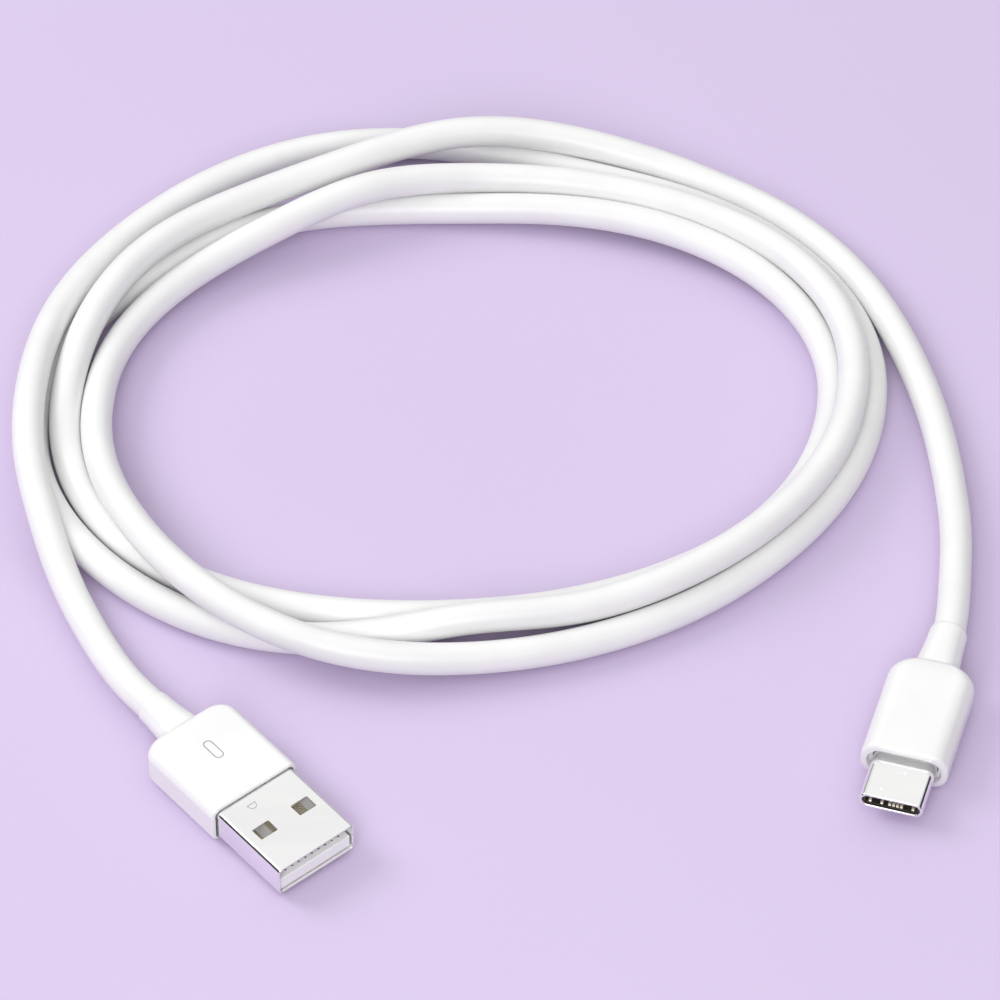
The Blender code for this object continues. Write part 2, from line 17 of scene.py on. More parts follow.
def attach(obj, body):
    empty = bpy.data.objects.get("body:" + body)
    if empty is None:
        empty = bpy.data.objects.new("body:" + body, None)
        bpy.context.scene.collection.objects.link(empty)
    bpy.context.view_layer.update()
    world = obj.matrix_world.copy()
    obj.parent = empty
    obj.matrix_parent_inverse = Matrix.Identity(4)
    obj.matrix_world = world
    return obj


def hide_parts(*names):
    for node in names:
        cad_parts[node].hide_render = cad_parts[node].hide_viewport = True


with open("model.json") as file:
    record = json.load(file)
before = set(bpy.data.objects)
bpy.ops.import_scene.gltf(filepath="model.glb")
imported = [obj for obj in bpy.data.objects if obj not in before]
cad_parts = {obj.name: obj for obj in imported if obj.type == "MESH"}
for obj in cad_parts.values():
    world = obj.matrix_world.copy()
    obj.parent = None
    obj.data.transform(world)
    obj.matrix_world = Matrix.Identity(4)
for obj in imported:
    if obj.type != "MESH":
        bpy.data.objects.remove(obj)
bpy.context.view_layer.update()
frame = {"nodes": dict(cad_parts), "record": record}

MM = 0.001
BODY = "cable"

# ---- cord, in metres: the same route as the CAD part's ----
CORD_DIAMETER = 0.0042
# Where the cord leaves each boot, along its plug's axis, and how far it goes on inside.
USB_A_MOUTH = -0.0212
USB_C_MOUTH = -0.0240
MOUTH_DEPTH = 0.003
COIL_CENTRE = (-0.0117, 0.0619)
COIL_HALF_WIDTH = 0.049
COIL_HALF_DEPTH = 0.038
COIL_SQUARENESS = 2.1
COIL_LEAN = 0.0012
TURN_START = -30
TURN_STEP = 20
# One pair for every TURN_STEP degrees, clockwise from the left: how many diameters the turn lies
# outside the innermost one, and how many diameters above the table.
TURN_LAY = (
    # coming in from the USB-A plug over the last turn, then outermost, then under the others
    (2.95, 0.60), (2.15, 1.05), (2.00, 0.90), (2.55, 0.40), (3.15, 0.30), (3.45, 0.12),
    (2.78, 0.00), (1.76, 0.00), (1.50, 0.00), (1.40, 0.00), (1.25, 0.00), (0.95, 0.00),
    (0.90, 0.00), (1.25, 0.00), (1.60, 0.05), (1.90, 0.25), (2.10, 0.70), (1.55, 1.05),
    # second turn, innermost on the left, then riding on its neighbours
    (0.60, 1.00), (0.00, 0.55), (-0.10, 0.25), (-0.10, 0.25), (-0.10, 0.70), (0.30, 1.05),
    (0.70, 0.65), (0.70, 0.55), (0.70, 0.60), (0.75, 0.75), (0.65, 0.85), (0.40, 0.85),
    (0.35, 0.85), (0.55, 0.75), (0.70, 0.65), (0.70, 0.70), (1.15, 0.15), (1.75, 0.00),
    # third turn, on the table and innermost
    (1.95, 0.00), (2.00, 0.00), (1.60, 0.00), (1.05, 0.00), (0.90, 0.00), (0.35, 0.00),
    (-0.10, 0.05), (-0.30, 0.25), (-0.30, 0.35), (-0.10, 0.20), (0.00, 0.00), (-0.20, 0.00),
    (-0.20, 0.00), (-0.15, 0.00), (-0.10, 0.00), (-0.10, 0.00), (0.00, 0.00), (0.40, 0.05),
    # last half turn, over the first one and out to the USB-C plug
    (0.80, 0.00), (0.95, 0.20), (0.90, 0.75), (1.15, 1.02), (1.36, 0.90), (1.72, 1.03),
    (2.40, 1.12), (2.56, 0.62), (2.60, 0.03), (2.45, 0.00),
)
TURNS_READ = (-20, 1225, 5)  # degrees: first, last, step
# The two free ends, from each boot towards the coil.
USB_A_TAIL = (
    (-0.0530, 0.0103, 0.0028), (-0.0569, 0.0163, 0.0025), (-0.0604, 0.0233, 0.0024),
    (-0.0634, 0.0303, 0.0029),
)
USB_C_TAIL = (
    (0.0507, 0.0235, 0.0028), (0.0514, 0.0297, 0.0024), (0.0520, 0.0387, 0.0022),
    (0.0516, 0.0487, 0.0021), (0.0502, 0.0597, 0.0021), (0.0475, 0.0707, 0.0022),
    (0.0439, 0.0802, 0.0025),
)
CORD_POINT_SPACING = 0.001
CORD_BEVEL_RESOLUTION = 14  # makes 32 sides

# ---- plugs, in millimetres ----
# Across a plug, a triple is (width, height, corner radius); along it, a pair is (back, front).
# A_FACE and C_FACE are where each plug's mount lies: how far forward, and how high.
A_FACE = (11.9, -0.9)
A_SHELL = (12.0, 4.5, 0.7)
A_SHELL_RUN = (-3.6, 12.3)
A_WALL = 0.3
A_WINDOW = (2.0, 2.6, 0.15)
A_WINDOW_X = 5.9
A_WINDOW_Y = 3.05
A_SEAM = (0.07, 0.12)  # width and depth
A_SEAM_CORNER = 0.01
A_DIMPLE_AT = (1.9, -1.75)
A_DIMPLE = (0.9, 1.3)  # length and width
A_DIMPLE_LINE = 0.11
A_INSULATOR_RUN = (-3.2, 11.9)
A_INSULATOR_WIDTH = 11.1
A_INSULATOR_LEVELS = (-1.83, 0.0)
A_INSULATOR_CORNER = 0.08
A_INSULATOR_CHAMFER = 0.1
A_INSULATOR_FRONT_CORNER = 0.05
A_PIT_X = 10.95
A_PITS_Y = (-5.0, 4.4, 10)  # first, last, how many
A_PIT_RADIUS = 0.17
A_PIT_DEPTH = 0.12
A_HOUSING = (13.5, 5.6, 1.3)
A_HOUSING_BORE = (12.44, 4.94, 0.84)
A_HOUSING_LENGTH = 14.4
A_REAR_ROUNDING = (2.2, 2.2, 0.5)
A_FRONT_ROUNDING = (0.3, 0.2, 0.2)
A_REAR_WALL = 1.1
A_MARK_X = -8.2
A_MARK = (3.4, 1.3)  # length and width
A_MARK_LINE = 0.14
MARK_SUNK = 0.05
MARK_PROUD = 0.012
A_BOOT_LENGTH = 6.5
A_BOOT_BASE = (6.0, 4.6, 2.3)
A_BOOT_SHOULDER = (4.7, 4.5, 2.25)
A_BOOT_FLANGE = (7.6, 4.2, 1.0)

C_FACE = (6.3, 0.695)
C_SHELL = (8.25, 2.4, 1.2)
C_SHELL_RUN = (-3.4, 6.65)
C_WALL = 0.2
C_LIP = 0.44
C_CARRIER = (7.55, 1.72, 0.86)
C_CARRIER_RUN = (-3.0, 6.3)
C_SLOT = (6.7, 1.06)
C_COMB_PITCH = 0.5
C_COMB_PLACES = 12
C_COMB_GROOVE = (0.3, 0.07)  # width and depth
C_TIP = (0.36, 0.26)  # width, and height above the slot's floor
C_TIP_RUN = (4.9, 6.2)
C_TIP_SUNK = 0.04
C_TIP_NOSE = 0.08
C_TIP_TAIL = 0.1
C_TIP_CREST_BACK = 0.3
C_TIP_EDGE = 0.03
C_TIP_PLACES = (1, 4, 5, 6, 7, 9, 12)
C_SPOTS = ((1.9, 0.6), (5.2, -1.6))
C_SPOT_RADIUS = 0.11
C_SPOT_DEPTH = 0.16
C_HOUSING = (11.3, 5.8, 2.4)
C_HOUSING_BORE = (9.7, 4.2, 1.6)
C_HOUSING_LENGTH = 16.5
C_REAR_ROUNDING = (2.8, 2.6, 0.6)
C_FRONT_ROUNDING = (0.5, 0.45, 0.45)
C_REAR_WALL = 1.2
C_RECESS = (9.6, 4.0, 1.95)
C_RECESS_DEPTH = 1.0
C_RECESS_CHAMFER = ((0.02, 0.06), (0.12, 0.0))  # how far back, and how much wider
C_WEB_BORE = (8.5, 2.65, 1.32)
C_WEB_THICKNESS = 0.9
C_BOOT_LENGTH = 7.2
C_BOOT_BASE = (6.0, 4.6, 2.3)
C_BOOT_SHOULDER = (5.0, 4.6, 2.3)
C_BOOT_FLANGE = (7.2, 3.8, 1.5)

BOOT_NECK = (4.0, 4.0, 2.0)
BOOT_WIRE_BORE = (2.7, 2.7, 1.35)
BOOT_CORD_BORE = (4.24, 4.24, 2.12)
WALL_HOLE = (4.2, 4.2, 2.1)
BOOT_BEHIND_WALL = 0.06
BOOT_FLANGE_GAP = 0.15
BOOT_FLANGE_THICKNESS = 0.9
BOOT_SHOULDER_ROUNDING = 0.7
BOOT_SHOULDER_INSETS = (0.22, 0.2)
BOOT_BASE_EDGE = ((0.0, 0.15), (0.08, 0.04), (0.2, 0.0))  # how far back, and how far inset
BOOT_FLARE_STEPS = 12
BOOT_FLARE_POWER = 1.6
BOOT_MOUTH_CHAMFER = (0.08, 0.12)  # how much wider, and how deep
BOOT_BORE_SPARE = 0.2

CUT_MARGIN = 0.5  # how far a cutter stands out of the piece
LEAST_CORNER = 0.1
LEAST_FLAT = 1e-4
EDGE_STEPS = 3
EDGE_ANGLE = 40
FACE_WEIGHT = 90

# ---- studio ----
CAMERA_AT = (-0.0072, -0.4947, 0.5705)
CAMERA_TILT = 43.5
CAMERA_LENS = 216.0
CAMERA_SENSOR = 36.0
CAMERA_CLIP = (0.01, 20.0)
FLOOR_SIZE = 3.0
LAMPS_AIM = (0.0, 0.04, 0.0)
KEY_AT = (-0.90, 0.42, 0.72)
KEY_SIZE = 0.7
KEY_POWER = 5.6
FILL_AT = (-0.12, -0.85, 0.70)
FILL_SIZE = 0.6
FILL_POWER = 4.6
SKY_STRENGTH = 0.93
# The sky's grey at each height of the direction looked in, from the horizon up.
SKY_RAMP = ((0.0, 0.10), (0.16, 0.16), (0.30, 0.75), (0.62, 1.0))
# Where the dark patch at either side begins and is full, by how far sideways the direction is.
SIDE_PATCH = (0.77, 0.87)
SIDE_PATCH_SHADE = 0.1


# ---- materials ----
class Surface:
    """What one material shows: its colour range, gloss range, grain and fine relief."""

    def __init__(
        self, dark, light, gloss, metallic=0.0, coat=0.0, patch=150, grain=2500, relief=0.02, stretch=1.0
    ):
        self.dark = dark
        self.light = light
        self.gloss = gloss
        self.metallic = metallic
        self.coat = coat
        self.patch = patch
        self.grain = grain
        self.relief = relief
        self.stretch = stretch


# Drawn metal's texture is stretched along X, to 1 / ALONG times its length.
ALONG = 0.12
NOISE_RANGE = (0.3, 0.7)  # the part of the noise that spans a material's two limits
PATCH_DETAIL = 4.0
GRAIN_DETAIL = 3.0
COAT_ROUGHNESS = 0.08
RELIEF_DISTANCE = 0.05
SURFACES = {
    "white_gloss": Surface((0.79, 0.79, 0.79), (0.825, 0.825, 0.82), (0.16, 0.26), coat=0.3, relief=0.05),
    "white_jacket": Surface((0.785, 0.785, 0.785), (0.825, 0.825, 0.82), (0.30, 0.42), relief=0.10),
    "natural_moulding": Surface((0.80, 0.78, 0.73), (0.88, 0.87, 0.83), (0.40, 0.60), relief=0.2),
    "polished_steel": Surface(
        (0.90, 0.90, 0.90), (0.98, 0.98, 0.97), (0.07, 0.16), metallic=1.0, relief=0.03, stretch=ALONG
    ),
    "tinned_steel": Surface(
        (0.62, 0.62, 0.63), (0.76, 0.76, 0.76), (0.22, 0.40), metallic=0.8, relief=0.10, stretch=ALONG
    ),
    "white_insulator": Surface((0.92, 0.92, 0.92), (0.95, 0.95, 0.945), (0.34, 0.48), relief=0.12),
    "black_insulator": Surface((0.030, 0.027, 0.022), (0.065, 0.060, 0.050), (0.30, 0.5), relief=0.2),
    "gold_contact": Surface(
        (0.86, 0.76, 0.56), (0.96, 0.89, 0.73), (0.18, 0.32), metallic=0.45, relief=0.05, stretch=ALONG
    ),
    "green_board": Surface((0.02, 0.13, 0.06), (0.04, 0.20, 0.10), (0.30, 0.45), relief=0.2),
    "resistor_body": Surface((0.04, 0.04, 0.045), (0.08, 0.08, 0.085), (0.3, 0.45), relief=0.2),
    "wire_red": Surface((0.52, 0.02, 0.02), (0.66, 0.05, 0.04), (0.35, 0.5), relief=0.1),
    "wire_white": Surface((0.76, 0.76, 0.74), (0.85, 0.85, 0.83), (0.35, 0.5), relief=0.1),
    "wire_green": Surface((0.03, 0.28, 0.07), (0.06, 0.40, 0.13), (0.35, 0.5), relief=0.1),
    "wire_black": Surface((0.012, 0.012, 0.012), (0.03, 0.03, 0.03), (0.35, 0.5), relief=0.1),
    # Dark grey of the thin raised lines on the shell and housing: painted shade in place of the shadow in
    # the pressed groove on the shell and the engraved groove on the housing.
    "groove_painted_shade": Surface((0.28, 0.28, 0.29), (0.36, 0.36, 0.37), (0.40, 0.55), relief=0.1),
    # Near-black for discs at the bottoms of the tongue's pits: painted shade that makes the shallow pits
    # read dark.
    "pit_painted_shade": Surface((0.012, 0.012, 0.012), (0.03, 0.03, 0.03), (0.5, 0.7), relief=0.1),
    "lavender_paper": Surface(
        (0.586, 0.485, 0.691), (0.610, 0.509, 0.713), (0.75, 0.9), patch=6, grain=900, relief=0.03
    ),
}
MATERIALS = {}


def surface_material(name):
    """A procedural material: soft colour patches, uneven gloss and a fine relief."""
    if name in MATERIALS:
        return MATERIALS[name]
    look = SURFACES[name]
    material = bpy.data.materials.new(name + "_look")
    material.use_nodes = True
    nodes, links = material.node_tree.nodes, material.node_tree.links
    shader = nodes["Principled BSDF"]
    shader.inputs["Metallic"].default_value = look.metallic
    shader.inputs["Coat Weight"].default_value = look.coat
    shader.inputs["Coat Roughness"].default_value = COAT_ROUGHNESS
    place = nodes.new("ShaderNodeTexCoord")
    stretch = nodes.new("ShaderNodeMapping")
    stretch.inputs["Scale"].default_value = (look.stretch, 1.0, 1.0)
    patches = nodes.new("ShaderNodeTexNoise")
    patches.inputs["Scale"].default_value = look.patch
    patches.inputs["Detail"].default_value = PATCH_DETAIL
    grain = nodes.new("ShaderNodeTexNoise")
    grain.inputs["Scale"].default_value = look.grain
    grain.inputs["Detail"].default_value = GRAIN_DETAIL
    colour = nodes.new("ShaderNodeValToRGB")
    stops = zip(colour.color_ramp.elements, NOISE_RANGE, (look.dark, look.light))
    for element, position, tint in stops:
        element.position = position
        element.color = (*tint, 1.0)
    gloss = nodes.new("ShaderNodeMapRange")
    gloss.inputs["From Min"].default_value = NOISE_RANGE[0]
    gloss.inputs["From Max"].default_value = NOISE_RANGE[1]
    gloss.inputs["To Min"].default_value = look.gloss[0]
    gloss.inputs["To Max"].default_value = look.gloss[1]
    relief = nodes.new("ShaderNodeBump")
    relief.inputs["Strength"].default_value = look.relief
    relief.inputs["Distance"].default_value = RELIEF_DISTANCE * MM
    links.new(place.outputs["Object"], stretch.inputs["Vector"])
    links.new(stretch.outputs["Vector"], patches.inputs["Vector"])
    links.new(stretch.outputs["Vector"], grain.inputs["Vector"])
    links.new(patches.outputs["Fac"], colour.inputs["Fac"])
    links.new(colour.outputs["Color"], shader.inputs["Base Color"])
    links.new(grain.outputs["Fac"], gloss.inputs["Value"])
    links.new(gloss.outputs["Result"], shader.inputs["Roughness"])
    links.new(grain.outputs["Fac"], relief.inputs["Height"])
    links.new(relief.outputs["Normal"], shader.inputs["Normal"])
    MATERIALS[name] = material
    return material


# ---- shapes ----
def rounded(width, height, radius, steps=10, centre=(0.0, 0.0)):
    """The corners of a rounded rectangle, anticlockwise, as pairs."""
    radius = min(radius, width / 2 - LEAST_FLAT, height / 2 - LEAST_FLAT)
    points = []
    for quarter, (side_u, side_v) in enumerate(((1, 1), (-1, 1), (-1, -1), (1, -1))):
        for step in range(steps + 1):
            angle = math.radians(90 * quarter + 90 * step / steps)
            u = side_u * (width / 2 - radius) + radius * math.cos(angle) + centre[0]
            v = side_v * (height / 2 - radius) + radius * math.sin(angle) + centre[1]
            points.append((u, v))
    return points


def skin(loops, ring):
    """Points and faces through loops of points, closed by joining the ends or by caps."""
    count = len(loops[0])
    points = [point for loop in loops for point in loop]
    faces = []
    for i in range(len(loops) if ring else len(loops) - 1):
        a = i * count
        b = (i + 1) % len(loops) * count
        for k in range(count):
            n = (k + 1) % count
            faces.append((a + k, a + n, b + n, b + k))
    if not ring:
        faces.append(tuple(range(count)))
        faces.append(tuple(range((len(loops) - 1) * count, len(loops) * count)))
    return points, faces


def along_x(stations, ring=False):
    """A skin whose outlines stand across the plug."""
    return skin([[(x, u, v) for u, v in outline] for x, outline in stations], ring)


def along_z(stations, ring=False):
    """A skin whose outlines lie flat, seen from above."""
    return skin([[(u, v, z) for u, v in outline] for z, outline in stations], ring)


def joined(shapes):
    """Several shapes as one."""
    points, faces = [], []
    for own_points, own_faces in shapes:
        faces += [tuple(corner + len(points) for corner in face) for face in own_faces]
        points += own_points
    return points, faces


def mesh_from(name, shape, plug):
    """An outward-facing mesh object from plug millimetres, placed in the frame."""
    points, faces = shape
    mesh = bpy.data.meshes.new(name)
    mesh.from_pydata([tuple(plug @ (Vector(p) * MM)) for p in points], [], faces)
    edit = bmesh.new()
    edit.from_mesh(mesh)
    bmesh.ops.recalc_face_normals(edit, faces=edit.faces)
    edit.to_mesh(mesh)
    edit.free()
    obj = bpy.data.objects.new(name, mesh)
    bpy.context.collection.objects.link(obj)
    return obj


def apply_modifiers(obj):
    """Keeps the shape that the modifiers make, and takes them off."""
    graph = bpy.context.evaluated_depsgraph_get()
    obj.data = bpy.data.meshes.new_from_object(obj.evaluated_get(graph))
    obj.modifiers.clear()


def cut(obj, cutters):
    """Takes the cutters out of the object, and removes them."""
    for cutter in cutters:
        modifier = obj.modifiers.new("cut", "BOOLEAN")
        modifier.operation = "DIFFERENCE"
        modifier.solver = "EXACT"
        modifier.object = cutter
    bpy.context.view_layer.update()
    apply_modifiers(obj)
    for cutter in cutters:
        bpy.data.objects.remove(cutter)


def finish_piece(obj, look, replaced=(), sharp=32.0, edge=0.0):
    """Material, smooth shading and ride of one new piece."""
    if edge:
        bevel = obj.modifiers.new("edge", "BEVEL")
        bevel.width = edge * MM
        bevel.segments = EDGE_STEPS
        bevel.limit_method = "ANGLE"
        bevel.angle_limit = math.radians(EDGE_ANGLE)
        bpy.context.view_layer.update()
        apply_modifiers(obj)
    obj.data.materials.clear()
    obj.data.materials.append(surface_material(look))
    obj.data.shade_smooth()
    obj.data.set_sharp_from_angle(angle=math.radians(sharp))
    weighted = obj.modifiers.new("flat_faces_stay_flat", "WEIGHTED_NORMAL")
    weighted.keep_sharp = True
    weighted.weight = FACE_WEIGHT
    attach(obj, BODY)
    if replaced:
        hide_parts(*replaced)
    return obj


def plug_frame(mount_name, face):
    """The matrix of a plug's own frame, from the mount on the face at its front."""
    mount = next(m for m in frame["record"]["mounts"] if m["name"] == mount_name)
    forward = Vector(mount["axis"]).normalized()
    up = Vector((0.0, 0.0, 1.0))
    side = up.cross(forward)
    origin = Vector(mount["pos_m"]) - face[0] * MM * forward - face[1] * MM * up
    turn = Matrix((forward, side, up)).transposed()
    return Matrix.Translation(origin) @ turn.to_4x4()


def rounded_end(size, at, towards, rounding, steps):
    """Stations that round over to an end face at x = at, from the full size."""
    reach, side_inset, top_inset = rounding
    width, height, radius = size
    stations = []
    for step in range(steps + 1):
        angle = math.radians(90 * step / steps)
        drop = 1 - math.cos(angle)
        x = at - towards * reach * (1 - math.sin(angle))
        outline = rounded(width - 2 * side_inset * drop, height - 2 * top_inset * drop, radius)
        stations.append((x, outline))
    return stations


def shrunk(size, inset):
    """A rounded rectangle that lies an even distance inside another."""
    width, height, radius = size
    return (width - 2 * inset, height - 2 * inset, max(radius - inset, LEAST_CORNER))


def lip(size, front, wall, steps=5):
    """Stations round the half-round front edge of a sheet-metal shell, from outside to bore."""
    stations = []
    for step in range(2 * steps + 1):
        angle = math.radians(90 * step / steps)
        inset = wall / 2 * (1 - math.cos(angle))
        x = front - wall / 2 * (1 - math.sin(angle))
        stations.append((x, rounded(*shrunk(size, inset))))
    return stations


def boot(name, plug, node, wall, tip, sizes):
    """A strain relief that flares from a round-edged mouth, where the cord goes in, to its base."""
    flange, base, shoulder = sizes
    neck = rounded(*BOOT_NECK)
    behind = wall[0] - BOOT_BEHIND_WALL
    flange_back = wall[1] + BOOT_FLANGE_GAP
    flange_front = flange_back + BOOT_FLANGE_THICKNESS
    shoulder_front = tip + BOOT_SHOULDER_ROUNDING
    stations = [
        (flange_front, rounded(*flange)),
        (flange_back, rounded(*flange)),
        (flange_back, neck),
        (behind, neck),
    ]
    stations += [(behind - back, rounded(*shrunk(base, inset))) for back, inset in BOOT_BASE_EDGE]
    start = stations[-1][0]
    for step in range(1, BOOT_FLARE_STEPS):
        share = step / BOOT_FLARE_STEPS
        flare = (1 - share) ** BOOT_FLARE_POWER
        size = [b + (a - b) * flare for a, b in zip(base, shoulder)]
        stations.append((start + (shoulder_front - start) * share, rounded(*size)))
    rounding = (BOOT_SHOULDER_ROUNDING, *BOOT_SHOULDER_INSETS)
    stations += rounded_end(shoulder, tip, -1, rounding, steps=8)
    wider, deep = BOOT_MOUTH_CHAMFER
    bore = rounded(*BOOT_CORD_BORE)
    bore_end = tip + MOUTH_DEPTH / MM + BOOT_BORE_SPARE
    wire_bore = rounded(*BOOT_WIRE_BORE)
    stations += [(tip, rounded(*shrunk(BOOT_CORD_BORE, -wider))), (tip + deep, bore), (bore_end, bore)]
    stations += [(bore_end, wire_bore), (flange_front, wire_bore)]
    piece = mesh_from(name, along_x(stations, ring=True), plug)
    return finish_piece(piece, "white_gloss", [node], sharp=40.0)


# ---- USB-A plug ----
def usb_a_shell(plug):
    """The folded steel shell: two windows through top and bottom, and a seam underneath."""
    outer = rounded(*A_SHELL)
    bore = rounded(*shrunk(A_SHELL, A_WALL))
    back, front = A_SHELL_RUN
    stations = [(back, outer)] + lip(A_SHELL, front, A_WALL) + [(back, bore)]
    shell = mesh_from("usb_a_shell_plated", along_x(stations, ring=True), plug)
    high = A_SHELL[1]
    cutters = []
    for side in (-1, 1):
        outline = rounded(*A_WINDOW, steps=4, centre=(A_WINDOW_X, side * A_WINDOW_Y))
        cutters.append(mesh_from("window_cutter", along_z([(-high, outline), (high, outline)]), plug))
    seam_width, seam_depth = A_SEAM
    centre = ((front + back) / 2, 0.0)
    seam = rounded(front - back + 2 * CUT_MARGIN, seam_width, A_SEAM_CORNER, steps=1, centre=centre)
    floor = -A_SHELL[1] / 2
    slot = along_z([(floor - CUT_MARGIN, seam), (floor + seam_depth, seam)])
    cutters.append(mesh_from("seam_cutter", slot, plug))
    cut(shell, cutters)
    return finish_piece(shell, "polished_steel", ["usb_a_shell"], sharp=40.0)


def dimple_outline(length, width, inset, steps=12):
    """A half-round outline: straight at the back, an arc towards the front."""
    half = width / 2 - inset
    points = []
    for step in range(steps + 1):
        angle = math.radians(-90 + 180 * step / steps)
        x = A_DIMPLE_AT[0] - length / 2 + inset + (length - 2 * inset) * math.cos(angle)
        points.append((x, A_DIMPLE_AT[1] + half * math.sin(angle)))
    return points


def flat_mark(name, outer, inner, top, plug):
    """A thin raised line between two outlines, sunk a little into the face at the given height."""
    low, high = top - MARK_SUNK, top + MARK_PROUD
    shape = along_z([(low, outer), (high, outer), (high, inner), (low, inner)], ring=True)
    return mesh_from(name, shape, plug)


def usb_a_marks(plug):
    """Thin raised lines in dark grey, painted shade standing in for the grooves of a pressed half-round
    on the shell and of a pill-shaped mark on the housing.
    """
    outer = dimple_outline(*A_DIMPLE, 0.0)
    inner = dimple_outline(*A_DIMPLE, A_DIMPLE_LINE)
    dimple = flat_mark("usb_a_shell_dimple", outer, inner, A_SHELL[1] / 2, plug)
    finish_piece(dimple, "groove_painted_shade")
    centre = (A_MARK_X, 0.0)
    length, width = A_MARK
    outer = rounded(length, width, width / 2, centre=centre)
    inner = rounded(*[size - 2 * A_MARK_LINE for size in A_MARK], width / 2 - A_MARK_LINE, centre=centre)
    mark = flat_mark("usb_a_side_mark", outer, inner, A_HOUSING[1] / 2, plug)
    finish_piece(mark, "groove_painted_shade")


def usb_a_insulator(plug):
    """The white tongue, with a row of moulding pits behind its front edge, and near-black discs in the
    pits as painted shade.
    """
    back, front = A_INSULATOR_RUN
    low, high = A_INSULATOR_LEVELS
    middle = (low + high) / 2
    centre = (0.0, middle)
    width, height = A_INSULATOR_WIDTH, high - low
    outline = rounded(width, height, A_INSULATOR_CORNER, steps=3, centre=centre)
    taper = 2 * A_INSULATOR_CHAMFER
    edge = rounded(width - taper, height - taper, A_INSULATOR_FRONT_CORNER, steps=3, centre=centre)
    stations = [(back, outline), (front - A_INSULATOR_CHAMFER, outline), (front, edge)]
    tongue = mesh_from("usb_a_tongue", along_x(stations), plug)
    cutters = []
    bottoms = []
    for y in np.linspace(*A_PITS_Y):
        pit = rounded(2 * A_PIT_RADIUS, 2 * A_PIT_RADIUS, A_PIT_RADIUS, steps=4, centre=(A_PIT_X, y))
        disc = along_z([(high - A_PIT_DEPTH, pit), (high - A_PIT_DEPTH / 2, pit)])
        bottoms.append(disc)
        hole = along_z([(high - A_PIT_DEPTH, pit), (high + CUT_MARGIN, pit)])
        cutters.append(mesh_from("pit_cutter", hole, plug))
    cut(tongue, cutters)
    finish_piece(tongue, "white_insulator", ["usb_a_insulator"])
    # The near-black discs in the pits are painted shade.
    shades = mesh_from("usb_a_pit_shades", joined(bottoms), plug)
    finish_piece(shades, "pit_painted_shade")


def usb_a_housing(plug):
    """The moulded sleeve, open at the front and pierced at the back for the cord."""
    cavity = rounded(*A_HOUSING_BORE)
    hole = rounded(*WALL_HOLE)
    back = -A_HOUSING_LENGTH
    wall_front = back + A_REAR_WALL
    stations = rounded_end(A_HOUSING, back, -1, A_REAR_ROUNDING, steps=16)[::-1]
    stations += rounded_end(A_HOUSING, 0.0, 1, A_FRONT_ROUNDING, steps=6)
    stations += [(0.0, cavity), (wall_front, cavity), (wall_front, hole), (back, hole)]
    housing = mesh_from("usb_a_housing_moulded", along_x(stations, ring=True), plug)
    return finish_piece(housing, "white_gloss", ["usb_a_housing"], sharp=50.0)


def usb_a_plug():
    """Every drawn piece of the USB-A plug; returns the plug's frame."""
    plug = plug_frame("usb_a_plug_front", A_FACE)
    back = -A_HOUSING_LENGTH
    wall = (back, back + A_REAR_WALL)
    sizes = (A_BOOT_FLANGE, A_BOOT_BASE, A_BOOT_SHOULDER)
    usb_a_housing(plug)
    usb_a_shell(plug)
    usb_a_insulator(plug)
    usb_a_marks(plug)
    boot("usb_a_boot", plug, "usb_a_strain_relief", wall, back - A_BOOT_LENGTH, sizes)
    return plug


# ---- USB-C plug ----
def usb_c_shell(plug):
    """The drawn steel tube, with an edge rolled inwards at its mouth."""
    back, front = C_SHELL_RUN
    bore = rounded(*shrunk(C_SHELL, C_WALL))
    behind_lip = front - C_LIP
    stations = [(back, rounded(*C_SHELL))]
    stations += lip(C_SHELL, front, C_LIP, steps=7)
    stations += [(behind_lip, bore), (back, bore)]
    shell = mesh_from("usb_c_shell_plated", along_x(stations, ring=True), plug)
    high = C_SHELL[1] / 2
    cutters = []
    for spot_at in C_SPOTS:
        spot = rounded(2 * C_SPOT_RADIUS, 2 * C_SPOT_RADIUS, C_SPOT_RADIUS, steps=4, centre=spot_at)
        cutter = along_z([(high - C_SPOT_DEPTH, spot), (high + CUT_MARGIN, spot)])
        cutters.append(mesh_from("spot_cutter", cutter, plug))
    cut(shell, cutters)
    return finish_piece(shell, "polished_steel", ["usb_c_shell"], sharp=40.0)


def comb(side):
    """One long side of the carrier's slot, from left to right, with a groove for each contact."""
    width, height = C_SLOT
    groove, depth = C_COMB_GROOVE
    level = side * height / 2
    points = []
    for place in range(C_COMB_PLACES):
        y = (place - (C_COMB_PLACES - 1) / 2) * C_COMB_PITCH
        foot = level + side * depth
        points += [(y - groove / 2, level), (y - groove / 2, foot)]
        points += [(y + groove / 2, foot), (y + groove / 2, level)]
    return [(-width / 2, level)] + points + [(width / 2, level)]


def usb_c_carrier(plug):
    """The black contact carrier: an oval tube whose slot has grooves for the contacts."""
    back, front = C_CARRIER_RUN
    slot_outline = comb(-1) + comb(1)[::-1]
    stations = [(back - CUT_MARGIN, slot_outline), (front + CUT_MARGIN, slot_outline)]
    carrier = mesh_from(
        "usb_c_carrier_moulded",
        along_x([(back, rounded(*C_CARRIER)), (front, rounded(*C_CARRIER))]),
        plug,
    )
    cut(carrier, [mesh_from("slot_cutter", along_x(stations), plug)])
    return finish_piece(carrier, "black_insulator", ["usb_c_contact_carrier"])


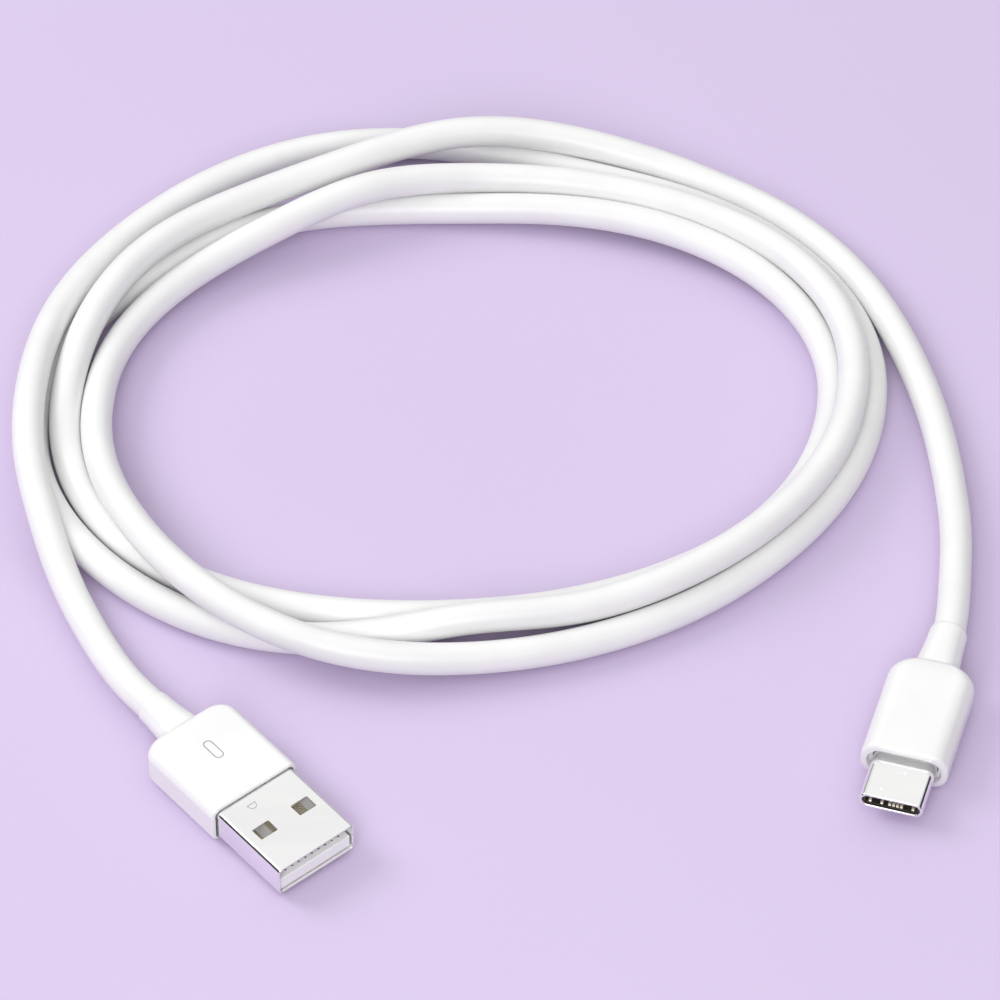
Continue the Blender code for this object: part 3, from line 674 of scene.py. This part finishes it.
def usb_c_contact_tips(plug):
    """The bent tips of the lower contacts, proud of the slot's floor just behind the mouth."""
    width, proud = C_TIP
    back, front = C_TIP_RUN
    floor = -C_SLOT[1] / 2
    profile = [(back, floor - C_TIP_SUNK), (front, floor - C_TIP_SUNK), (front, floor + C_TIP_NOSE)]
    profile += [(front - C_TIP_CREST_BACK, floor + proud), (back, floor + C_TIP_TAIL)]
    tips = []
    for place in C_TIP_PLACES:
        y = ((C_COMB_PLACES + 1) / 2 - place) * C_COMB_PITCH
        sides = [[(x, y + side * width / 2, z) for x, z in profile] for side in (-1, 1)]
        tips.append(skin(sides, ring=False))
    tips = mesh_from("usb_c_contact_tips", joined(tips), plug)
    return finish_piece(tips, "gold_contact", edge=C_TIP_EDGE)


def usb_c_housing(plug):
    """The moulded sleeve, whose front is recessed round the shell."""
    cavity = rounded(*C_HOUSING_BORE)
    web = rounded(*C_WEB_BORE)
    recess = rounded(*C_RECESS)
    hole = rounded(*WALL_HOLE)
    back = -C_HOUSING_LENGTH
    wall_front = back + C_REAR_WALL
    web_front = -C_RECESS_DEPTH
    web_back = web_front - C_WEB_THICKNESS
    stations = rounded_end(C_HOUSING, back, -1, C_REAR_ROUNDING, steps=16)[::-1]
    stations += rounded_end(C_HOUSING, 0.0, 1, C_FRONT_ROUNDING, steps=8)
    stations += [(-deep, rounded(*shrunk(C_RECESS, -wider))) for deep, wider in C_RECESS_CHAMFER]
    stations += [(web_front, recess), (web_front, web), (web_back, web)]
    stations += [(web_back, cavity), (wall_front, cavity)]
    stations += [(wall_front, hole), (back, hole)]
    housing = mesh_from("usb_c_housing_moulded", along_x(stations, ring=True), plug)
    return finish_piece(housing, "white_gloss", ["usb_c_housing"], sharp=50.0)


def usb_c_plug():
    """Every drawn piece of the USB-C plug; returns its frame and the pieces."""
    plug = plug_frame("usb_c_plug_front", C_FACE)
    back = -C_HOUSING_LENGTH
    wall = (back, back + C_REAR_WALL)
    sizes = (C_BOOT_FLANGE, C_BOOT_BASE, C_BOOT_SHOULDER)
    housing = usb_c_housing(plug)
    shell = usb_c_shell(plug)
    carrier = usb_c_carrier(plug)
    tips = usb_c_contact_tips(plug)
    relief = boot("usb_c_boot", plug, "usb_c_strain_relief", wall, back - C_BOOT_LENGTH, sizes)
    return plug, [housing, shell, carrier, tips, relief]


# ---- cord ----
def natural_spline(knots, values, wanted):
    """The natural cubic spline through values (rows) at knots, read at the wanted places."""
    knots = np.asarray(knots, float)
    values = np.asarray(values, float)
    gap = np.diff(knots)
    slope = np.diff(values, axis=0) / gap[:, None]
    system = np.eye(len(knots))
    right = np.zeros_like(values)
    for i in range(1, len(knots) - 1):
        system[i, i - 1 : i + 2] = gap[i - 1], 2 * (gap[i - 1] + gap[i]), gap[i]
        right[i] = 6 * (slope[i] - slope[i - 1])
    bend = np.linalg.solve(system, right)
    cell = np.clip(np.searchsorted(knots, wanted, side="right") - 1, 0, len(gap) - 1)
    h = gap[cell][:, None]
    a = (knots[cell + 1] - wanted)[:, None] / h
    b = 1 - a
    curve = a * values[cell] + b * values[cell + 1]
    return curve + ((a**3 - a) * bend[cell] + (b**3 - b) * bend[cell + 1]) * h**2 / 6


def turn_places(turns):
    """Centre points of the cord at the given turn angles in degrees."""
    knots = TURN_START + TURN_STEP * np.arange(len(TURN_LAY))
    lay = natural_spline(knots, TURN_LAY, turns)
    direction = np.radians(180 - turns)
    across = (np.abs(np.cos(direction)) / COIL_HALF_WIDTH) ** COIL_SQUARENESS
    away = (np.abs(np.sin(direction)) / COIL_HALF_DEPTH) ** COIL_SQUARENESS
    reach = (across + away) ** (-1 / COIL_SQUARENESS) + COIL_LEAN * np.sin(2 * direction)
    reach += lay[:, 0] * CORD_DIAMETER
    x = COIL_CENTRE[0] + reach * np.cos(direction)
    y = COIL_CENTRE[1] + reach * np.sin(direction)
    z = CORD_DIAMETER / 2 + np.maximum(lay[:, 1], 0) * CORD_DIAMETER
    return np.stack([x, y, z], axis=1)


def cord_line(plug_a, plug_c):
    """Points along the cord's centre, from inside the USB-A boot to inside the USB-C boot."""
    first, last, step = TURNS_READ
    coil = turn_places(np.arange(first, last + step / 2, step))
    start = plug_a @ Vector((USB_A_MOUTH, 0.0, 0.0))
    end = plug_c @ Vector((USB_C_MOUTH, 0.0, 0.0))
    route = np.vstack([start, USB_A_TAIL, coil, USB_C_TAIL[::-1], end])
    along = np.concatenate([[0], np.cumsum(np.linalg.norm(np.diff(route, axis=0), axis=1))])
    count = round(along[-1] / CORD_POINT_SPACING) + 1
    line = natural_spline(along, route, np.linspace(0, along[-1], count))
    line[:, 2] = np.maximum(line[:, 2], CORD_DIAMETER / 2)
    depths = (MOUTH_DEPTH, MOUTH_DEPTH / 2)
    inside_a = [plug_a @ Vector((USB_A_MOUTH + depth, 0.0, 0.0)) for depth in depths]
    inside_c = [plug_c @ Vector((USB_C_MOUTH + depth, 0.0, 0.0)) for depth in depths[::-1]]
    return np.vstack([inside_a, line, inside_c])


def cord(plug_a, plug_c):
    """One unbroken round jacket from boot to boot."""
    line = cord_line(plug_a, plug_c)
    data = bpy.data.curves.new("cord_jacket", "CURVE")
    data.dimensions = "3D"
    data.bevel_depth = CORD_DIAMETER / 2
    data.bevel_resolution = CORD_BEVEL_RESOLUTION
    data.use_fill_caps = True
    spline = data.splines.new("POLY")
    spline.points.add(len(line) - 1)
    for place, point in zip(spline.points, line):
        place.co = (*(float(c) for c in point), 1.0)
    data.materials.append(surface_material("white_jacket"))
    obj = bpy.data.objects.new("cord_jacket", data)
    bpy.context.collection.objects.link(obj)
    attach(obj, BODY)
    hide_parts("cord_coil", "cord_end_usb_a", "cord_end_usb_c")


# ---- carried CAD pieces ----
def dress_carried_pieces():
    """Every CAD piece that is still shown gets the detailed material of its slot."""
    slots = {part["node"]: part["material_slot"] for part in frame["record"]["subparts"]}
    for name, obj in frame["nodes"].items():
        if obj.hide_render:
            continue
        look = surface_material(slots[name])
        if obj.material_slots:
            for place in obj.material_slots:
                place.material = look
        else:
            obj.data.materials.append(look)


# ---- floor, light and camera ----
def disk_lamp(name, at, size, power):
    """A round area lamp that looks at the object."""
    data = bpy.data.lights.new(name, "AREA")
    data.shape = "DISK"
    data.size = size
    data.energy = power
    lamp = bpy.data.objects.new(name, data)
    bpy.context.collection.objects.link(lamp)
    lamp.location = at
    aim = Vector(LAMPS_AIM) - lamp.location
    lamp.rotation_euler = aim.to_track_quat("-Z", "Y").to_euler()


def sky():
    """A pale room: bright above, dark at the horizon and in a round patch at either side."""
    world = bpy.data.worlds.new("studio")
    bpy.context.scene.world = world
    world.use_nodes = True
    nodes, links = world.node_tree.nodes, world.node_tree.links
    place = nodes.new("ShaderNodeTexCoord")
    parts = nodes.new("ShaderNodeSeparateXYZ")
    shade = nodes.new("ShaderNodeValToRGB")
    ramp = shade.color_ramp
    while len(ramp.elements) < len(SKY_RAMP):
        ramp.elements.new(0.5)
    for element, (height, grey) in zip(ramp.elements, SKY_RAMP):
        element.position = height
        element.color = (grey, grey, grey, 1.0)
    sideways = nodes.new("ShaderNodeMath")
    sideways.operation = "ABSOLUTE"
    patch = nodes.new("ShaderNodeMapRange")
    patch.inputs["From Min"].default_value = SIDE_PATCH[0]
    patch.inputs["From Max"].default_value = SIDE_PATCH[1]
    patch.inputs["To Min"].default_value = 1.0
    patch.inputs["To Max"].default_value = SIDE_PATCH_SHADE
    dimmed = nodes.new("ShaderNodeVectorMath")
    dimmed.operation = "SCALE"
    links.new(place.outputs["Generated"], parts.inputs["Vector"])
    links.new(parts.outputs["Z"], shade.inputs["Fac"])
    links.new(parts.outputs["X"], sideways.inputs[0])
    links.new(sideways.outputs["Value"], patch.inputs["Value"])
    links.new(shade.outputs["Color"], dimmed.inputs[0])
    links.new(patch.outputs["Result"], dimmed.inputs["Scale"])
    links.new(dimmed.outputs["Vector"], nodes["Background"].inputs["Color"])
    nodes["Background"].inputs["Strength"].default_value = SKY_STRENGTH


def studio():
    """The paper floor, the sky and the two lamps."""
    mesh = bpy.data.meshes.new("floor")
    half = FLOOR_SIZE / 2
    corners = [(-half, -half, 0), (half, -half, 0), (half, half, 0), (-half, half, 0)]
    mesh.from_pydata(corners, [], [(0, 1, 2, 3)])
    floor = bpy.data.objects.new("floor", mesh)
    bpy.context.collection.objects.link(floor)
    mesh.materials.append(surface_material("lavender_paper"))
    sky()
    disk_lamp("key", KEY_AT, KEY_SIZE, KEY_POWER)
    disk_lamp("fill", FILL_AT, FILL_SIZE, FILL_POWER)
    bpy.context.scene.view_settings.view_transform = "Standard"


def camera():
    """The view: from the front and above, with a long lens."""
    data = bpy.data.cameras.new("camera")
    data.lens = CAMERA_LENS
    data.sensor_width = CAMERA_SENSOR
    data.clip_start, data.clip_end = CAMERA_CLIP
    obj = bpy.data.objects.new("camera", data)
    bpy.context.collection.objects.link(obj)
    obj.location = CAMERA_AT
    obj.rotation_euler = (math.radians(CAMERA_TILT), 0.0, 0.0)
    bpy.context.scene.camera = obj


camera()
plug_a = usb_a_plug()
plug_c, c_pieces = usb_c_plug()
cord(plug_a, plug_c)
dress_carried_pieces()
studio()
